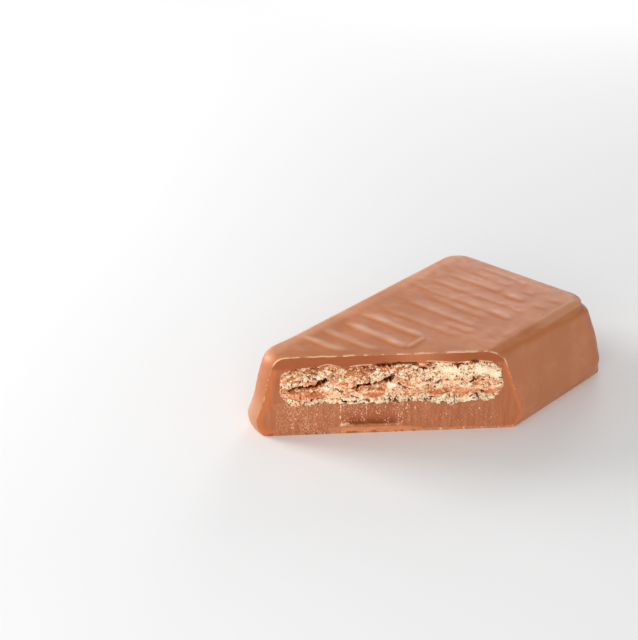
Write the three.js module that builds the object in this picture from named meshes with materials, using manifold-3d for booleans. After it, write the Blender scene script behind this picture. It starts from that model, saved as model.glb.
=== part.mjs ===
// A small milk-chocolate wafer bar, cut slantwise across one corner so that its layers show.
//
// The bar is a moulded-looking block with leaning walls, a rounded top edge and a foot that
// tucks in under a slight belly. Inside it three wafer sheets alternate with two layers of
// cream. Chocolate covers the stack all round and is thickest underneath.
//
// Millimetres, +Z up. X runs across the bar and Y along it, from the cut end to the whole
// end. The origin is the centre of the bar's footprint, on the surface that it lies on.

import * as THREE from "three";
import { mergeVertices } from "three/addons/utils/BufferGeometryUtils.js";
import Module from "manifold-3d";

// ---- Driving dimensions ----

// The chocolate block
const WIDTH = 28; // at the belly, the widest height
const LENGTH = 45.5; // at the belly, before the cut
const HEIGHT = 11.7; // to the crests of the ripples on top
const CORNER_RADIUS = 3.5; // of the four upright corners, at the belly
const BELLY_HEIGHT = 2.4;
const FOOT_TUCK = 0.8; // how far the foot goes in under the belly
const SIDE_DRAFT = 0.23; // how far a long wall leans in, for each mm of height
const END_DRAFT = 0.2; // the same for an end wall
const TOP_FILLET = 1.7;
const CORNER_SHRINK = 0.3; // how much an upright corner sharpens, for each mm its wall leans in

// The slanted cut. It starts where the near end's straight stretch would, at its left corner.
const CUT_ANGLE = THREE.MathUtils.degToRad(44.4); // from the bar's length
const CUT_START = new THREE.Vector2(-WIDTH / 2 + CORNER_RADIUS, -LENGTH / 2);
const CUT_OUTWARD = new THREE.Vector2(Math.cos(CUT_ANGLE), -Math.sin(CUT_ANGLE));
const CUTTER_SIZE = 80; // any size that clears the bar

// The ripples that run across the top
const RIPPLE_COUNT = 12;
const RIPPLE_HEIGHT = 0.16;
const RIPPLE_LEFT = -10; // where the long ripples start
const RIPPLE_BREAK = 2.5; // where they stop and a fainter set, half a pitch on, takes over
const RIPPLE_RIGHT = 9; // where the fainter set ends
const RIPPLE_FADE = 1.6; // length over which a ripple rises from nothing
const FAINT_SHARE = 0.6; // height of the fainter set, as a share of the other's

// The stack of wafer and cream, from the bottom up
const STACK_FLOOR = 4.4; // thickness of the chocolate under the stack
const STACK_WIDTH = 24;
const STACK_LENGTH = 40.9;
const STACK_CORNER = 1.2; // plan radius of the stack's corners
const FLOOR_ROUNDING = 0.8; // how far the edges of the stack's lowest sheet draw in
const ROOF_ROUNDING = 0.3; // the same for its highest sheet
const SHEET_WAVE = 0.12; // half the height of the sheets' waviness
const WAVE_LENGTH = 17;
const FIT_GAP = 0.1; // between neighbouring layers, and between stack and chocolate
const LAYERS = [
  { name: "wafer_bottom", thickness: 1.2, food: "wafer" },
  { name: "cream_lower", thickness: 1.0, food: "cream" },
  { name: "wafer_middle", thickness: 0.8, food: "wafer" },
  { name: "cream_upper", thickness: 0.7, food: "cream" },
  { name: "wafer_top", thickness: 2.0, food: "wafer" },
];

// Mesh divisions
const ROWS_PER_RIPPLE = 4;
const CORNER_COLUMNS = 4;
const MIDDLE_COLUMNS = 8;
const FOOT_LEVELS = 3;
const WALL_LEVELS = 3;
const FILLET_LEVELS = 4;
const SHEET_COLUMNS = 8;
const SHEET_ROWS = 12;
const SHEET_LEVELS = 2;
const POCKET_LEVELS = 7;
const BLOCK_COLUMNS = MIDDLE_COLUMNS + 2 * CORNER_COLUMNS;
const BLOCK_LEVELS = FOOT_LEVELS + WALL_LEVELS + FILLET_LEVELS;
const BLOCK_ROWS = RIPPLE_COUNT * ROWS_PER_RIPPLE;

// ---- Foods ----

const FOODS = {
  chocolate: new THREE.MeshStandardMaterial({ color: 0xb97a58, roughness: 0.38, metalness: 0 }),
  wafer: new THREE.MeshStandardMaterial({ color: 0xe6be93, roughness: 0.9, metalness: 0 }),
  cream: new THREE.MeshStandardMaterial({ color: 0xc98f69, roughness: 0.7, metalness: 0 }),
};

// ---- Small helpers ----

function fadeIn(value, start, length) {
  return THREE.MathUtils.smoothstep(value, start, start + length);
}

// Moves a point of a square-cornered rectangle so that the rectangle's corners become round.
function roundedPlan(x, y, halfX, halfY, radius) {
  const pastX = Math.abs(x) - (halfX - radius);
  const pastY = Math.abs(y) - (halfY - radius);
  if (pastX <= 0 || pastY <= 0) {
    return [x, y];
  }
  const shrink = Math.max(pastX, pastY) / Math.hypot(pastX, pastY);
  return [
    Math.sign(x) * (halfX - radius + pastX * shrink),
    Math.sign(y) * (halfY - radius + pastY * shrink),
  ];
}

// A closed grid of points on a cube from -1 to 1, each moved to pointAt(u, v, w).
function shapedCube(columns, rows, levels, pointAt) {
  const cube = new THREE.BoxGeometry(2, 2, 2, columns, rows, levels);
  cube.deleteAttribute("normal");
  cube.deleteAttribute("uv");
  const merged = mergeVertices(cube);
  const places = merged.attributes.position;
  for (let i = 0; i < places.count; i++) {
    places.setXYZ(i, ...pointAt(places.getX(i), places.getY(i), places.getZ(i)));
  }
  return merged;
}

// ---- The chocolate block's form ----

const TOP_HEIGHT = HEIGHT - RIPPLE_HEIGHT; // of the hollows between the ripples
const SHOULDER_HEIGHT = TOP_HEIGHT - TOP_FILLET; // where the walls end and the rounding starts
const TOP_LENGTH = LENGTH - 2 * wallInset(TOP_HEIGHT, END_DRAFT);
const RIPPLE_PITCH = TOP_LENGTH / RIPPLE_COUNT;

function wallInset(z, draft) {
  if (z < BELLY_HEIGHT) {
    return FOOT_TUCK * (1 - z / BELLY_HEIGHT) ** 2;
  }
  const intoFillet = Math.max(z - SHOULDER_HEIGHT, 0);
  const fillet = TOP_FILLET - Math.sqrt(Math.max(TOP_FILLET ** 2 - intoFillet ** 2, 0));
  return draft * (z - BELLY_HEIGHT) + fillet;
}

// Height of the ripples above the hollows between them. They die away towards the cut.
function ripple(x, y) {
  const wave = -Math.cos((2 * Math.PI * (y + TOP_LENGTH / 2)) / RIPPLE_PITCH);
  const handover = fadeIn(x, RIPPLE_BREAK, RIPPLE_FADE);
  const long = fadeIn(x, RIPPLE_LEFT, RIPPLE_FADE) * (1 - handover);
  const faint = FAINT_SHARE * handover * (1 - fadeIn(x, RIPPLE_RIGHT, RIPPLE_FADE));
  const fromCut = CUT_OUTWARD.dot(CUT_START) - CUT_OUTWARD.dot({ x, y });
  const height = RIPPLE_HEIGHT * fadeIn(fromCut, 0, RIPPLE_FADE);
  return height * (long * Math.max(wave, 0) + faint * Math.max(-wave, 0));
}

function levelHeight(level) {
  if (level <= FOOT_LEVELS) {
    return (BELLY_HEIGHT * level) / FOOT_LEVELS;
  }
  const wallLevel = level - FOOT_LEVELS;
  if (wallLevel <= WALL_LEVELS) {
    return THREE.MathUtils.lerp(BELLY_HEIGHT, SHOULDER_HEIGHT, wallLevel / WALL_LEVELS);
  }
  const turn = ((Math.PI / 2) * (wallLevel - WALL_LEVELS)) / FILLET_LEVELS;
  return SHOULDER_HEIGHT + TOP_FILLET * Math.sin(turn);
}

// Distance from the bar's middle line to a column, counted outwards from that line.
function columnDistance(column, halfX, radius) {
  const straight = MIDDLE_COLUMNS / 2;
  if (column <= straight) {
    return ((halfX - radius) * column) / straight;
  }
  return halfX - radius + (radius * (column - straight)) / CORNER_COLUMNS;
}

function blockPoint(u, v, w) {
  const level = Math.round((BLOCK_LEVELS * (w + 1)) / 2);
  const column = Math.round((BLOCK_COLUMNS * Math.abs(u)) / 2);
  const z = levelHeight(level);
  const halfX = WIDTH / 2 - wallInset(z, SIDE_DRAFT);
  const halfY = LENGTH / 2 - wallInset(z, END_DRAFT);
  const radius = CORNER_RADIUS - CORNER_SHRINK * wallInset(z, SIDE_DRAFT);
  const across = Math.sign(u) * columnDistance(column, halfX, radius);
  const [x, y] = roundedPlan(across, halfY * v, halfX, halfY, radius);
  return [x, y, level === BLOCK_LEVELS ? z + ripple(x, y) : z];
}

// ---- The stack's form ----

const STACK_HEIGHT = LAYERS.reduce((sum, layer) => sum + layer.thickness, 0);

function sheetWave(x, y) {
  const turn = (2 * Math.PI) / WAVE_LENGTH;
  return SHEET_WAVE * Math.sin(turn * (x + 0.4 * y)) * Math.cos(turn * (0.7 * y - 0.3 * x));
}

// One slab of the stack between two heights, its edges drawn in towards the stack's top and
// bottom, and grown all round by the given amount.
function slab(bottom, top, levels, grow) {
  const middle = STACK_FLOOR + STACK_HEIGHT / 2;
  return shapedCube(SHEET_COLUMNS, SHEET_ROWS, levels, (u, v, w) => {
    const z = THREE.MathUtils.mapLinear(w, -1, 1, bottom, top);
    const share = Math.min(Math.abs(z - middle) / (STACK_HEIGHT / 2), 1);
    const inset = (z < middle ? FLOOR_ROUNDING : ROOF_ROUNDING) * share ** 4 - grow;
    const halfX = STACK_WIDTH / 2 - inset;
    const halfY = STACK_LENGTH / 2 - inset;
    const [x, y] = roundedPlan(halfX * u, halfY * v, halfX, halfY, STACK_CORNER);
    return [x, y, z + sheetWave(x, y)];
  });
}

function layerGeometries() {
  let floor = STACK_FLOOR;
  return LAYERS.map((layer) => {
    const bottom = floor + FIT_GAP / 2;
    floor += layer.thickness;
    return slab(bottom, floor - FIT_GAP / 2, SHEET_LEVELS, 0);
  });
}

function pocketGeometry() {
  const bottom = STACK_FLOOR - FIT_GAP;
  const top = STACK_FLOOR + STACK_HEIGHT + FIT_GAP;
  return slab(bottom, top, POCKET_LEVELS, FIT_GAP);
}

// Everything on the far side of the slanted cut, as one big block.
function cutterGeometry() {
  const centre = CUT_START.clone().addScaledVector(CUT_OUTWARD, CUTTER_SIZE / 2);
  const block = new THREE.BoxGeometry(CUTTER_SIZE, CUTTER_SIZE, CUTTER_SIZE);
  block.rotateZ(-CUT_ANGLE);
  return block.translate(centre.x, centre.y, 0);
}

// ---- Cutting ----

const wasm = await Module();
wasm.setup();

function toSolid(geometry) {
  geometry.deleteAttribute("normal");
  geometry.deleteAttribute("uv");
  const merged = mergeVertices(geometry);
  const mesh = new wasm.Mesh({
    numProp: 3,
    vertProperties: new Float32Array(merged.attributes.position.array),
    triVerts: new Uint32Array(merged.index.array),
  });
  return new wasm.Manifold(mesh);
}

function toMesh(name, solid, food) {
  const cut = solid.getMesh();
  const geometry = new THREE.BufferGeometry();
  geometry.setAttribute("position", new THREE.BufferAttribute(cut.vertProperties, 3));
  geometry.setIndex(new THREE.BufferAttribute(cut.triVerts, 1));
  geometry.computeVertexNormals();
  const mesh = new THREE.Mesh(geometry, FOODS[food]);
  mesh.name = name;
  return mesh;
}

// ---- The bar ----

const cutter = toSolid(cutterGeometry());

function coating() {
  const block = toSolid(shapedCube(BLOCK_COLUMNS, BLOCK_ROWS, BLOCK_LEVELS, blockPoint));
  const hollow = block.subtract(toSolid(pocketGeometry()));
  return toMesh("coating", hollow.subtract(cutter), "chocolate");
}

function stack() {
  const slabs = layerGeometries();
  return LAYERS.map((layer, i) => toMesh(layer.name, toSolid(slabs[i]).subtract(cutter), layer.food));
}

const bar = new THREE.Group();
bar.name = "chocolate_wafer_bar";
bar.add(coating(), ...stack());

export default bar;
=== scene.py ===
"""The looks of a small milk-chocolate wafer bar that is cut slantwise across one corner.

Shapes are worked out in millimetres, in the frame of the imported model: X across the bar, Y
along it and Z up. A second pair of coordinates lies in the cut: u runs along it from the near
end to the right side, and depth runs into the bar, square to it.
"""

import math

import bmesh
import bpy
import numpy as np
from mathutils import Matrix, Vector
from mathutils.geometry import delaunay_2d_cdt


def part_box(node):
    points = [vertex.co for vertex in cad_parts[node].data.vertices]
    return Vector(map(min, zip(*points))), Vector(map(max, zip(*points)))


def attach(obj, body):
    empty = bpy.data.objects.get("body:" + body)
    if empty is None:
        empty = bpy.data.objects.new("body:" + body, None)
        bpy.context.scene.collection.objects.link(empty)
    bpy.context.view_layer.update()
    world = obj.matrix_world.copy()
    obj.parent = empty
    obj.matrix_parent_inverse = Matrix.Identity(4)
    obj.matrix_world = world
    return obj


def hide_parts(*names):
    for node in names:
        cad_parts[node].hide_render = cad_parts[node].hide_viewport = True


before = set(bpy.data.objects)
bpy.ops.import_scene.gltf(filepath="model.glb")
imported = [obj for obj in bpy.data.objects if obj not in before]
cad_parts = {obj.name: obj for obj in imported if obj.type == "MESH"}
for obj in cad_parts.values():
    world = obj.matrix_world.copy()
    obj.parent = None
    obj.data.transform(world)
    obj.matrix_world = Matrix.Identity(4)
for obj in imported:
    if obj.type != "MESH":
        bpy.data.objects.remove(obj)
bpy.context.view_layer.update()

MM = 0.001
BODY = "root"

# ---- sizes from the frame, in mm


def node_box(name):
    low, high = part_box(name)
    return np.array(low) / MM, np.array(high) / MM


HALF_WIDTH, HALF_LENGTH, HEIGHT = node_box("coating")[1]

LAYER_NAMES = ("wafer_bottom", "cream_lower", "wafer_middle", "cream_upper", "wafer_top")
ROOF_FACE = len(LAYER_NAMES)
layer_boxes = [node_box(name) for name in LAYER_NAMES]
STACK_HALF_WIDTH, STACK_HALF_LENGTH = layer_boxes[2][1][:2]
SHEET_WAVE = 0.12
# Heights of the faces between the layers, from the stack's floor to its roof.
FACE_HEIGHTS = np.array(
    [layer_boxes[0][0][2] + SHEET_WAVE / 2]
    + [(below[1][2] + above[0][2]) / 2 for below, above in zip(layer_boxes, layer_boxes[1:])]
    + [layer_boxes[-1][1][2] - SHEET_WAVE / 2]
)

# ---- driving dimensions, in mm

CORNER_RADIUS = 3.5
CORNER_SHRINK = 0.3
BELLY_HEIGHT = 2.4
FOOT_TUCK = 0.8
SIDE_DRAFT = 0.23
END_DRAFT = 0.2
TOP_FILLET = 1.7
RIPPLE_HEIGHT = 0.16
CREST_RISE = 0.24
TOP_HEIGHT = HEIGHT - RIPPLE_HEIGHT
SHOULDER_HEIGHT = TOP_HEIGHT - TOP_FILLET

CUT_ANGLE = math.radians(44.4)
CUT_START = np.array([-HALF_WIDTH + CORNER_RADIUS, -HALF_LENGTH])
CUT_ALONG = np.array([math.sin(CUT_ANGLE), math.cos(CUT_ANGLE)])
CUT_OUTWARD = np.array([math.cos(CUT_ANGLE), -math.sin(CUT_ANGLE)])

STACK_CORNER = 1.2
FLOOR_ROUNDING = 0.8
ROOF_ROUNDING = 0.3

# ---- camera

CAMERA_PLACE = (125.90, -164.78, 118.40)
CAMERA_HEADING = (-0.66181, 0.74967)
CAMERA_PITCH = 0.4755
FOCAL_PIXELS = 1759.34
FRAME_PIXELS = 640
SENSOR = 36.0
CLIP_START, CLIP_END = 0.01, 5.0


def new_object(name, data):
    made = bpy.data.objects.new(name, data)
    bpy.context.scene.collection.objects.link(made)
    return made


def add_camera():
    data = bpy.data.cameras.new("view")
    data.sensor_width = SENSOR
    data.lens = FOCAL_PIXELS * SENSOR / FRAME_PIXELS
    data.clip_start, data.clip_end = CLIP_START, CLIP_END
    camera = new_object("view", data)
    flat = math.cos(CAMERA_PITCH)
    gaze = Vector((CAMERA_HEADING[0] * flat, CAMERA_HEADING[1] * flat, -math.sin(CAMERA_PITCH)))
    camera.rotation_euler = gaze.to_track_quat("-Z", "Y").to_euler()
    camera.location = Vector(CAMERA_PLACE) * MM
    bpy.context.scene.camera = camera


add_camera()

# ---- curves and noise

TABLE_SIZES = {2: 256, 3: 48}
OCTAVE_SUM = 1.6


def smooth(value, low, high):
    """0 up to low, 1 from high on, and an S-curve between them."""
    share = np.clip((value - low) / (high - low), 0, 1)
    return share * share * (3 - 2 * share)


def fade(value, high, low):
    """1 up to high, 0 from low on, and an S-curve between them."""
    return 1 - smooth(value, high, low)


def band(value, start, full, fading, end):
    """Rises from 0 at start to 1 at full, then falls from 1 at fading to 0 at end."""
    return smooth(value, start, full) * fade(value, fading, end)


def hump(value, middle, half):
    """A bell curve: 1 in the middle, and about a third one half width away from it."""
    return np.exp(-(((value - middle) / half) ** 2))


def paired(first, second):
    return np.stack([first, second], -1)


def noise(points, cell, seed):
    """Smooth noise from -1 to 1 with features about one cell across."""
    points = np.asarray(points, float)
    dims = points.shape[-1]
    size = TABLE_SIZES[dims]
    table = np.random.default_rng(seed).uniform(-1, 1, (size,) * dims)
    scaled = points / cell
    base = np.floor(scaled).astype(int)
    share = smooth(scaled - base, 0, 1)
    total = np.zeros(points.shape[:-1])
    for corner in np.ndindex((2,) * dims):
        weight = np.prod(np.where(np.array(corner) == 1, share, 1 - share), axis=-1)
        index = (base + np.array(corner)) % size
        total += weight * table[tuple(np.moveaxis(index, -1, 0))]
    return total


def layered_noise(points, cell, seed, octaves=4):
    total = sum(noise(points, cell / 2**i, seed + i) / 2**i for i in range(octaves))
    return total / OCTAVE_SUM


def cells(points, cell, seed):
    """Cells round scattered seeds, as (distance, gap, own value).

    The distance is to the nearest seed, the gap is how much farther the next seed lies, both
    in cells, and the own value belongs to the nearest seed, from 0 to 1.
    """
    points = np.asarray(points, float)
    dims = points.shape[-1]
    size = TABLE_SIZES[dims]
    rng = np.random.default_rng(seed)
    offsets = rng.random((size,) * dims + (dims,))
    values = rng.random((size,) * dims)
    scaled = points / cell
    base = np.floor(scaled).astype(int)
    nearest, second = np.full((2,) + points.shape[:-1], np.inf)
    own = np.zeros(points.shape[:-1])
    for step in np.ndindex((3,) * dims):
        index = base + np.array(step) - 1
        place = tuple(np.moveaxis(index % size, -1, 0))
        distance = np.linalg.norm(index + offsets[place] - scaled, axis=-1)
        nearer = distance < nearest
        second = np.where(nearer, nearest, np.minimum(second, distance))
        nearest = np.where(nearer, distance, nearest)
        own = np.where(nearer, values[place], own)
    return nearest, second - nearest, own


# ---- the bar's form

CORNER_POINTS, FINE_CORNER_POINTS = 12, 22
FINE_STEP = 0.5
NEAR_ARC_POINTS = 200
EXTRA_POINT_SHARE = 0.08


def to_cut(plan):
    """Plan points (..., 2) as (u, depth)."""
    offset = np.asarray(plan) - CUT_START
    return offset @ CUT_ALONG, -(offset @ CUT_OUTWARD)


def from_cut(u, depth):
    return CUT_START + np.multiply.outer(u, CUT_ALONG) - np.multiply.outer(depth, CUT_OUTWARD)


def fillet_inset(z):
    """How far the walls draw in above the shoulder, where they round over into the top."""
    into_fillet = np.maximum(z - SHOULDER_HEIGHT, 0)
    return TOP_FILLET - np.sqrt(np.maximum(TOP_FILLET**2 - into_fillet**2, 0))


def wall_inset(z, draft):
    """How far a wall stands inside the footprint box at one height."""
    if z < BELLY_HEIGHT:
        return FOOT_TUCK * (1 - z / BELLY_HEIGHT) ** 2
    return draft * (z - BELLY_HEIGHT) + fillet_inset(z)


def resampled(line, count):
    """The same line with count points, evenly spaced along it."""
    steps = np.linalg.norm(np.diff(line, axis=0), axis=1)
    along = np.concatenate([[0], np.cumsum(steps)])
    wanted = np.linspace(0, along[-1], count)
    return np.stack([np.interp(wanted, along, line[:, i]) for i in range(line.shape[1])], 1)


def arc(centre, radius, start, end, count):
    turns = np.radians(np.linspace(start, end, count))
    return np.array(centre) + radius * np.stack([np.cos(turns), np.sin(turns)], 1)


def cut_outline(half_x, half_y, radius, step):
    """A round-cornered rectangle's outline from the cut's right end round to its left end."""
    inner_x, inner_y = half_x - radius, half_y - radius
    cut_rise = (half_x - CUT_START[0]) * CUT_ALONG[1] / CUT_ALONG[0]
    right_start = [half_x, CUT_START[1] + cut_rise]
    corner = CORNER_POINTS if step > FINE_STEP else FINE_CORNER_POINTS

    def straight(start, end, length):
        return np.linspace(start, end, max(int(length / step), 2))

    near_arc = arc((-inner_x, -inner_y), radius, 180, 270, NEAR_ARC_POINTS)
    near = np.concatenate([near_arc, [[half_x, -half_y]]])
    depth = to_cut(near)[1]
    first_out = int(np.argmax(depth < 0))
    inside, outside = depth[first_out - 1], depth[first_out]
    share = inside / (inside - outside)
    crossing = near[first_out - 1] + share * (near[first_out] - near[first_out - 1])
    near = np.concatenate([near[:first_out], [crossing]])
    pieces = [
        straight(right_start, [half_x, inner_y], HALF_LENGTH),
        arc((inner_x, inner_y), radius, 0, 90, corner),
        straight([inner_x, half_y], [-inner_x, half_y], 2 * HALF_WIDTH),
        arc((-inner_x, inner_y), radius, 90, 180, corner),
        straight([-half_x, inner_y], [-half_x, -inner_y], 2 * HALF_LENGTH),
        resampled(near, corner),
    ]
    return np.concatenate([piece[:-1] for piece in pieces[:-1]] + [pieces[-1]])


def block_outline(z, step):
    """The walls' outline at one height, with one more point close behind each end of the cut."""
    side, end = wall_inset(z, SIDE_DRAFT), wall_inset(z, END_DRAFT)
    radius = CORNER_RADIUS - CORNER_SHRINK * side
    line = cut_outline(HALF_WIDTH - side, HALF_LENGTH - end, radius, step)
    behind_right = line[0] + EXTRA_POINT_SHARE * (line[1] - line[0])
    behind_left = line[-1] + EXTRA_POINT_SHARE * (line[-2] - line[-1])
    return np.concatenate([line[:1], [behind_right], line[1:-1], [behind_left], line[-1:]])


# ---- the top's ripples

# Crests on the top, each as (y, left end, right end, share of the full height).
RIPPLES = (
    (-17.3, -12.8, -5.4, 0.55),
    (-14.0, -12.2, -1.0, 0.95),
    (-10.95, -10.8, 2.0, 1.0),
    (-7.55, -9.2, 2.9, 1.05),
    (-4.05, -9.4, 2.9, 0.95),
    (-1.05, -8.4, 5.5, 0.4),
    (0.95, 1.2, 6.6, 0.4),
    (2.85, -7.4, 5.8, 0.55),
    (5.75, -6.2, 5.6, 0.36),
    (7.65, -10.0, 4.0, 0.45),
    (7.65, 2.8, 8.2, 0.75),
    (10.45, -9.0, 8.4, 0.42),
    (13.25, -8.0, 2.2, 0.42),
    (13.25, 1.8, 6.4, 0.75),
    (13.4, 6.6, 9.8, 0.4),
    (15.75, -7.5, 2.5, 0.3),
    (15.85, 3.0, 6.2, 0.4),
    (16.0, 6.8, 9.8, 0.35),
    (17.7, -6.0, 4.0, 0.25),
)
# A hook runs along the bar and joins the right ends of two ripples.
HOOK_X, HOOK_HALF_WIDTH, HOOK_LOW, HOOK_HIGH, HOOK_RAMP = 2.2, 0.48, -8.0, -3.6, 0.8
CREST_NEAR, CREST_FAR = 0.5, 1.15
# How long a ripple's ends rise: at most so far, and at most this share of its length.
LEFT_RAMP, LEFT_RAMP_SHARE = 3.2, 0.45
RIGHT_RAMP, RIGHT_RAMP_SHARE = 1.6, 0.35


def crest(offset):
    """A ripple's section: steep towards the near end, gentle towards the far end."""
    near = np.exp(-((np.minimum(offset, 0) / CREST_NEAR) ** 2))
    far = 1 / (1 + (np.maximum(offset, 0) / CREST_FAR) ** 2) ** 2
    return near * far


def top_relief(plan):
    """Height of the top's ripples and swells above the hollows between them."""
    x, y = plan[..., 0], plan[..., 1]
    _, depth = to_cut(plan)
    bend = 0.25 * noise(plan * 0.5, 2.2, 11)
    relief = np.zeros_like(x)
    for place, left, right, height in RIPPLES:
        length = right - left
        left_end = left + min(LEFT_RAMP, LEFT_RAMP_SHARE * length)
        right_end = right - min(RIGHT_RAMP, RIGHT_RAMP_SHARE * length)
        along = band(x, left, left_end, right_end, right)
        relief = np.maximum(relief, height * along * crest(y + bend - place))
    hook = band(y, HOOK_LOW, HOOK_LOW + HOOK_RAMP, HOOK_HIGH - HOOK_RAMP, HOOK_HIGH)
    relief = np.maximum(relief, hook * hump(x, HOOK_X, HOOK_HALF_WIDTH))
    swell = layered_noise(paired(x * 0.45, y), 1.7, 13, 3)
    relief = 0.1 + 0.85 * relief * (0.88 + 0.22 * noise(plan, 1.6, 12)) + 0.16 * swell
    inside = smooth(depth, 0.2, 2.0) * fade(np.abs(x), 9.8, 11.0) * fade(y, 17.4, 19.0)
    return CREST_RISE * np.clip(relief * inside, 0, 1)


# ---- the faces between the layers, as the cut shows them

# Lines that the faces follow across the cut, each as (u, height), from the stack's floor up.
FACE_LINES = (
    ((3.0, 5.0), (4.6, 4.35), (7.0, 4.4), (9.0, 4.8), (12.5, 4.45), (15.5, 4.4), (18.5, 4.6),
     (22.0, 4.45), (25.5, 3.9), (28.5, 4.25), (30.5, 4.25), (32.3, 4.8)),
    ((3.0, 5.75), (5.5, 5.3), (7.0, 5.1), (8.2, 5.75), (10.0, 5.4), (13.2, 5.6), (15.2, 5.25),
     (16.4, 5.95), (19.0, 5.6), (22.3, 5.8), (23.6, 5.15), (25.0, 5.75), (27.0, 5.0),
     (29.2, 5.6), (30.5, 5.1), (32.3, 5.3)),
    ((3.0, 6.3), (7.0, 6.4), (10.0, 6.4), (11.4, 5.85), (13.5, 6.4), (18.0, 6.55),
     (19.6, 6.25), (22.5, 6.6), (26.0, 6.45), (32.3, 6.3)),
    ((3.0, 6.7), (4.3, 6.5), (6.0, 6.9), (8.2, 7.1), (9.1, 7.6), (10.2, 6.6), (11.9, 6.05),
     (13.3, 6.75), (16.3, 7.1), (17.6, 7.65), (19.0, 6.75), (20.7, 6.55), (23.5, 7.0),
     (25.0, 6.75), (28.0, 7.0), (32.3, 6.8)),
    ((3.0, 7.3), (4.3, 6.95), (5.4, 7.4), (8.0, 8.0), (9.3, 8.2), (12.0, 7.8), (13.4, 7.2),
     (15.0, 7.45), (16.8, 8.25), (17.8, 8.25), (20.0, 7.6), (22.5, 7.3), (24.0, 7.6),
     (26.5, 7.3), (28.5, 7.5), (32.3, 7.4)),
    ((3.0, 8.9), (4.6, 9.7), (7.0, 9.9), (8.5, 10.1), (9.8, 10.2), (11.6, 9.6), (13.5, 9.95),
     (18.5, 10.15), (21.0, 9.9), (23.5, 10.2), (26.0, 9.85), (28.0, 10.15), (30.7, 9.7),
     (32.3, 8.9)),
)
FACE_ROUGHNESS = (0.26, 0.3, 0.26, 0.22, 0.24, 0.14)
FACE_CELL = 0.62
FACE_SPREAD = 9.0
# Depths between which the uneven layers even out.
UNEVEN_DEPTH, EVEN_DEPTH = 0.5, 3.0
END_WOBBLE = 0.2


def face_height(index, plan):
    """Height of one face between layers. It is uneven at the cut and even behind it."""
    u, depth = to_cut(plan)
    line = np.array(FACE_LINES[index])
    at_cut = np.interp(u, line[:, 0], line[:, 1])
    across = paired(u, depth * 0.7 + FACE_SPREAD * index)
    at_cut += FACE_ROUGHNESS[index] * layered_noise(across, FACE_CELL, 31, 4)
    even = smooth(depth, UNEVEN_DEPTH, EVEN_DEPTH)
    return at_cut + (FACE_HEIGHTS[index] - at_cut) * even


def end_wobble(plan, height):
    """Plan points moved along the cut, so that the stack's ends crumble."""
    u, depth = to_cut(plan)
    spots = paired(u * 0.25, np.broadcast_to(height, u.shape))
    uneven = fade(depth, UNEVEN_DEPTH, EVEN_DEPTH)
    shift = END_WOBBLE * layered_noise(spots, 0.9, 71, 3) * uneven
    return plan + shift[..., None] * CUT_ALONG


def stack_inset(share):
    """How far the stack's ends draw in, share running from its floor to its roof."""
    from_middle = np.abs(2 * share - 1)
    return np.where(share < 0.5, FLOOR_ROUNDING, ROOF_ROUNDING) * from_middle**3


def stack_outline(share, gap=0.0):
    """The stack's outline at one share of its height, or a hollow's that leaves a gap round it."""
    inset = float(stack_inset(share)) - gap
    return cut_outline(STACK_HALF_WIDTH - inset, STACK_HALF_LENGTH - inset, STACK_CORNER, 1.0)


# ---- mesh building

BOW = 6
MERGE_DISTANCE = 1e-6
JITTER = 0.2
CHUNK = 4000
LOOP_SAMPLES, OUTLINE_SAMPLES = 1500, 1600


class Shape:
    """A mesh under construction: its points, in millimetres, and its faces."""

    def __init__(self):
        self.points = np.zeros((0, 3))
        self.faces = []

    def add(self, points):
        points = np.asarray(points, float)
        first = len(self.points)
        flat = points.reshape(-1, 3)
        self.points = np.concatenate([self.points, flat])
        return np.arange(first, first + len(flat)).reshape(points.shape[:-1])

    def grid(self, index):
        """Quads between the neighbouring points of a two-way grid."""
        corners = [index[:-1, :-1], index[1:, :-1], index[1:, 1:], index[:-1, 1:]]
        self.faces += np.stack(corners, -1).reshape(-1, 4).tolist()

    def lid(self, ring, front, spacing, margin, seed, height):
        """Triangles over points strewn inside a ring, at the heights worked out for them.

        The front closes the ring, with points that lie along the cut. They are bowed out while
        the triangles are chosen, or else flat ones would stand between points in one line.
        Triangles that bridge a notch of the loop are left out.
        """
        loop = np.concatenate([ring, front])
        spots = spread_points(self.points[loop, :2], spacing, margin, seed)
        everything = np.concatenate([loop, self.add(with_height(spots, height(spots)))])
        plan = self.points[everything, :2].copy()
        share = np.linspace(0, 1, len(front) + 2)[1:-1, None]
        plan[len(ring) : len(loop)] += BOW * share * (1 - share) * CUT_OUTWARD
        corners = [Vector(p) for p in plan]
        outline = [tuple(range(len(loop)))]
        found = delaunay_2d_cdt(corners, [], outline, 1, MERGE_DISTANCE, True)
        origins = np.array([ids[0] for ids in found[3]])
        triangles = origins[np.array(found[2])]
        kept = inside_loop(plan[triangles].mean(1), plan[: len(loop)])
        self.faces += everything[triangles[kept]].tolist()

    def finish(self, name, marks, sharp=None):
        mesh = bpy.data.meshes.new(name)
        mesh.from_pydata((self.points * MM).tolist(), [], self.faces)
        whole = bmesh.new()
        whole.from_mesh(mesh)
        bmesh.ops.recalc_face_normals(whole, faces=whole.faces)
        whole.to_mesh(mesh)
        whole.free()
        mesh.shade_smooth()
        if sharp:
            mesh.set_sharp_from_angle(angle=math.radians(sharp))
        for mark, values in marks.items():
            attribute = mesh.attributes.new(mark, "FLOAT", "POINT")
            attribute.data.foreach_set("value", np.asarray(values, np.float32))
        piece = new_object(name, mesh)
        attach(piece, BODY)
        return piece


def inside_loop(spots, loop):
    """Which plan points lie inside a closed loop."""
    hit = np.zeros(len(spots), bool)
    x, y = spots[:, 0], spots[:, 1]
    for (x0, y0), (x1, y1) in zip(loop, np.roll(loop, -1, 0)):
        if y0 != y1:
            crosses = (y0 > y) != (y1 > y)
            hit ^= crosses & (x < (x1 - x0) * (y - y0) / (y1 - y0) + x0)
    return hit


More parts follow.
